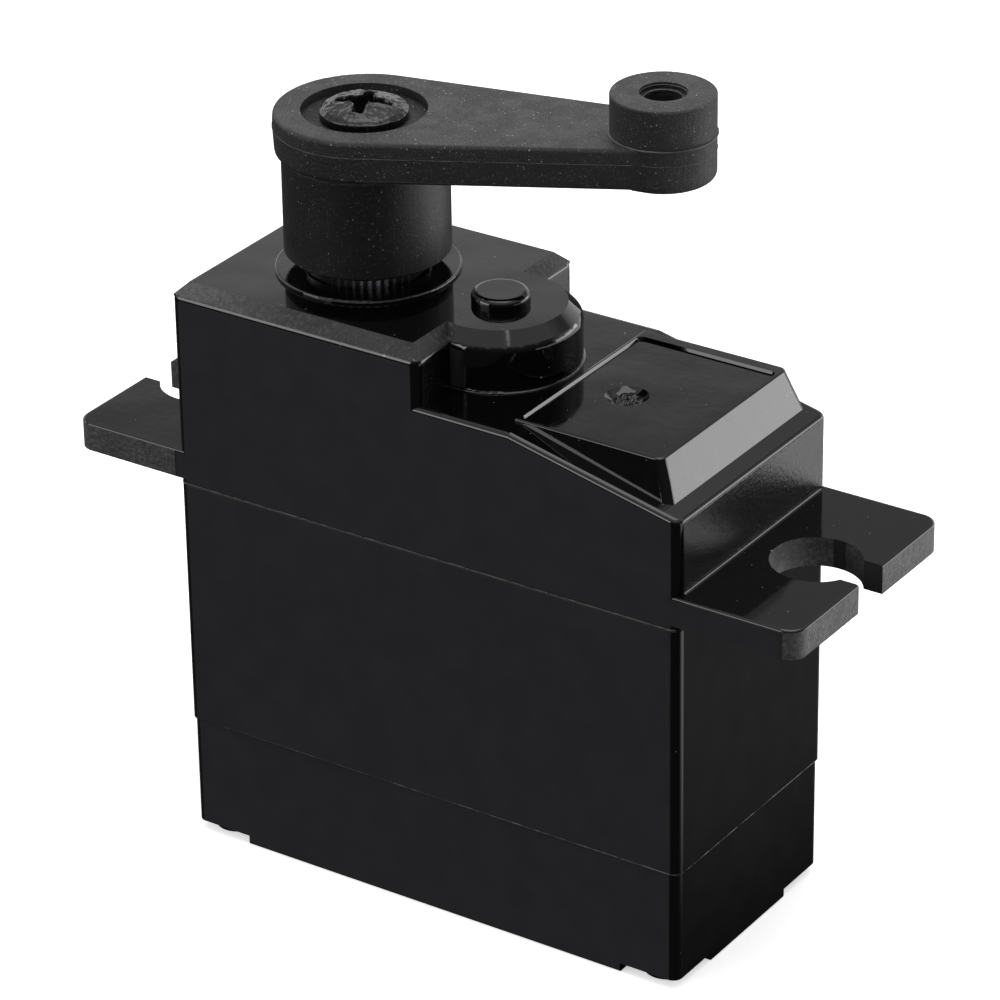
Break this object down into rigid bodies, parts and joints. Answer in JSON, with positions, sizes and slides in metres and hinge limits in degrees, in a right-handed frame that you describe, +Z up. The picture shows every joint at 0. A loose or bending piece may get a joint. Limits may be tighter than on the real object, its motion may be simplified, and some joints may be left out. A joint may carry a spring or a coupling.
{
  "type": "hobby servo motor",
  "caption": "Geared hobby servo motor in a stepped black case with slotted mounting lugs, a single-arm horn on its splined output shaft and a plug-in lead.",
  "frame": {"origin": "on the output shaft's axis, at the level of the flat underside of the case", "axes": "+Z up the output shaft, +X along the case toward the motor end, -Y out of a long side face"},
  "size_m": [0.0454, 0.0291, 0.0404],
  "materials": {
    "case_top": "glossy moulded black",
    "case_middle": "satin moulded black",
    "case_bottom": "satin moulded black",
    "black_screw": "black oxide",
    "horn": "matte moulded black",
    "gear_steel": "machined",
    "bearing_steel": "ground",
    "bush_bronze": "sintered",
    "gear_brass": "machined",
    "gear_nylon": "moulded nylon",
    "pin_steel": "ground",
    "motor_steel": "nickel plated",
    "magnet": "sintered ferrite",
    "motor_cap": "moulded nylon",
    "contact_metal": "stamped",
    "core_steel": "laminated",
    "copper_winding": "enamelled copper",
    "pot_plastic": "moulded",
    "board_laminate": "phenolic",
    "carbon_track": "carbon film",
    "chip_plastic": "moulded epoxy",
    "chip_ceramic": "fired",
    "wire_inner": "PVC sleeve",
    "grommet_rubber": "moulded",
    "wire_signal": "PVC sleeve",
    "wire_positive": "PVC sleeve",
    "wire_ground": "PVC sleeve",
    "connector_plastic": "moulded"
  },
  "bodies": {
    "case": {"top_case": "case_top", "middle_case": "case_middle", "bottom_case": "case_bottom", "case_screws": "black_screw", "bearing_outer_race": "bearing_steel", "lower_bush": "bush_bronze", "first_gear_pin": "pin_steel", "second_gear_pin": "pin_steel", "motor_can": "motor_steel", "motor_bush": "bush_bronze", "motor_magnets": "magnet", "motor_end_cap": "motor_cap", "motor_terminals": "contact_metal", "motor_screws": "pin_steel", "pot_body": "pot_plastic", "pot_base": "board_laminate", "pot_track": "carbon_track", "pot_terminals": "contact_metal", "control_board": "board_laminate", "controller_chip": "chip_plastic", "driver_chips": "chip_plastic", "chip_capacitors": "chip_ceramic", "motor_wires": "wire_inner", "pot_wires": "wire_inner", "cable_grommet": "grommet_rubber", "signal_wire": "wire_signal", "positive_wire": "wire_positive", "ground_wire": "wire_ground", "connector_housing": "connector_plastic", "connector_contacts": "contact_metal"},
    "output_shaft": {"output_gear": "gear_steel", "servo_horn": "horn", "horn_screw": "black_screw", "bearing_inner_race": "bearing_steel", "pot_shaft": "gear_nylon", "pot_wiper": "contact_metal"},
    "ball_ring": {"bearing_balls": "bearing_steel"},
    "third_stage": {"third_gear": "gear_brass"},
    "second_stage": {"second_gear": "gear_brass"},
    "first_stage": {"first_gear": "gear_nylon"},
    "motor_rotor": {"motor_shaft": "pin_steel", "motor_pinion": "gear_brass", "armature_core": "core_steel", "armature_windings": "copper_winding", "commutator": "copper_winding"}
  },
  "joints": [
    {"name": "output_turn", "type": "hinge", "parent": "case", "child": "output_shaft", "pos_m": [0, 0, 0.025], "axis": [0, 0, 1], "range_deg": [-90, 90]},
    {"name": "ball_orbit", "type": "hinge", "parent": "case", "child": "ball_ring", "pos_m": [0, 0, 0.025], "axis": [0, 0, 1], "range_deg": [-40, 40]},
    {"name": "third_turn", "type": "hinge", "parent": "case", "child": "third_stage", "pos_m": [0.0075, 0, 0.025], "axis": [0, 0, 1], "range_deg": [-195, 195]},
    {"name": "second_turn", "type": "hinge", "parent": "case", "child": "second_stage", "pos_m": [0.01375, 0, 0.025], "axis": [0, 0, 1], "range_deg": [-610, 610]},
    {"name": "first_turn", "type": "hinge", "parent": "case", "child": "first_stage", "pos_m": [0.0075, 0, 0.025], "axis": [0, 0, 1], "range_deg": [-2430, 2430]},
    {"name": "motor_turn", "type": "hinge", "parent": "case", "child": "motor_rotor", "pos_m": [0.01375, 0, 0.025], "axis": [0, 0, 1], "range_deg": [-11040, 11040]}
  ],
  "couplings": [
    {"joint": "ball_orbit", "follows": "output_turn", "ratio": 0.43125},
    {"joint": "third_turn", "follows": "output_turn", "ratio": -2.125},
    {"joint": "second_turn", "follows": "output_turn", "ratio": 6.7292},
    {"joint": "first_turn", "follows": "output_turn", "ratio": -26.917},
    {"joint": "motor_turn", "follows": "output_turn", "ratio": 122.62}
  ]
}
